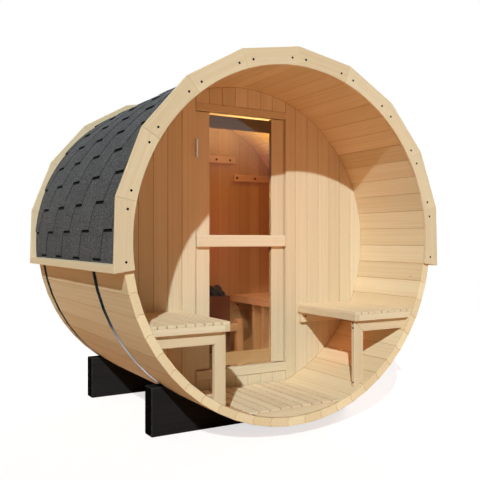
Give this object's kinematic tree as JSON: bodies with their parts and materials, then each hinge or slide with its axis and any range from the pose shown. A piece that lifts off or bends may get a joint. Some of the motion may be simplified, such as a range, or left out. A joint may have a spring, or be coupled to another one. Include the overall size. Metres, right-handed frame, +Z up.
{
  "type": "barrel sauna",
  "caption": "Barrel sauna of wooden staves on two cradles, with an open porch with benches, a glazed swing door, a stove behind it and a shingled roof.",
  "frame": {"origin": "on the ground under the middle of the barrel", "axes": "+Z up, +Y from the porch to the back wall along the barrel, +X to the right seen from the porch"},
  "size_m": [2.0192, 1.636, 2.0559],
  "materials": {
    "stave_wood": "planed, oiled",
    "clear_wood": "planed, clear",
    "shingle": "mineral granules",
    "black_stain": "black stain",
    "polished_steel": "polished",
    "bronze_glass": "bronze tint",
    "heater_steel": "satin",
    "stove_stone": "rough"
  },
  "bodies": {
    "sauna": {"back_wall": "clear_wood", "back_wall_battens": "clear_wood", "cabin_bench_frames": "clear_wood", "cabin_bench_rails": "clear_wood", "cabin_bench_slats": "clear_wood", "cabin_floor_bearers": "clear_wood", "cabin_floor_slats": "clear_wood", "cradle_front": "black_stain", "cradle_rear": "black_stain", "door_lintel": "clear_wood", "door_sill": "clear_wood", "eave_left": "clear_wood", "eave_right": "clear_wood", "front_trim": "clear_wood", "front_wall_left": "clear_wood", "front_wall_over_door": "clear_wood", "front_wall_right": "clear_wood", "front_wall_under_door": "clear_wood", "heater_body": "heater_steel", "heater_guard": "clear_wood", "heater_stones": "stove_stone", "hinges_jamb": "polished_steel", "hoop_front": "polished_steel", "hoop_rear": "polished_steel", "left_porch_bench_frame": "clear_wood", "left_porch_bench_rails": "clear_wood", "left_porch_bench_slats": "clear_wood", "porch_floor_bearers": "clear_wood", "porch_floor_slats": "clear_wood", "rear_trim": "clear_wood", "right_porch_bench_frame": "clear_wood", "right_porch_bench_rails": "clear_wood", "right_porch_bench_slats": "clear_wood", "roof_left": "shingle", "roof_right": "shingle", "shell_bottom": "stave_wood", "shell_lower_left": "stave_wood", "shell_lower_right": "stave_wood", "shell_upper_left": "stave_wood", "shell_upper_right": "stave_wood"},
    "door": {"door_crossbar": "clear_wood", "door_glass": "bronze_glass", "door_rails": "clear_wood", "door_stiles": "clear_wood", "hinges_leaf": "polished_steel"}
  },
  "joints": [
    {"name": "door_swing", "type": "hinge", "parent": "sauna", "child": "door", "pos_m": [-0.3085, -0.2395, 1.036], "axis": [0, 0, -1], "range_deg": [0, 90]}
  ]
}
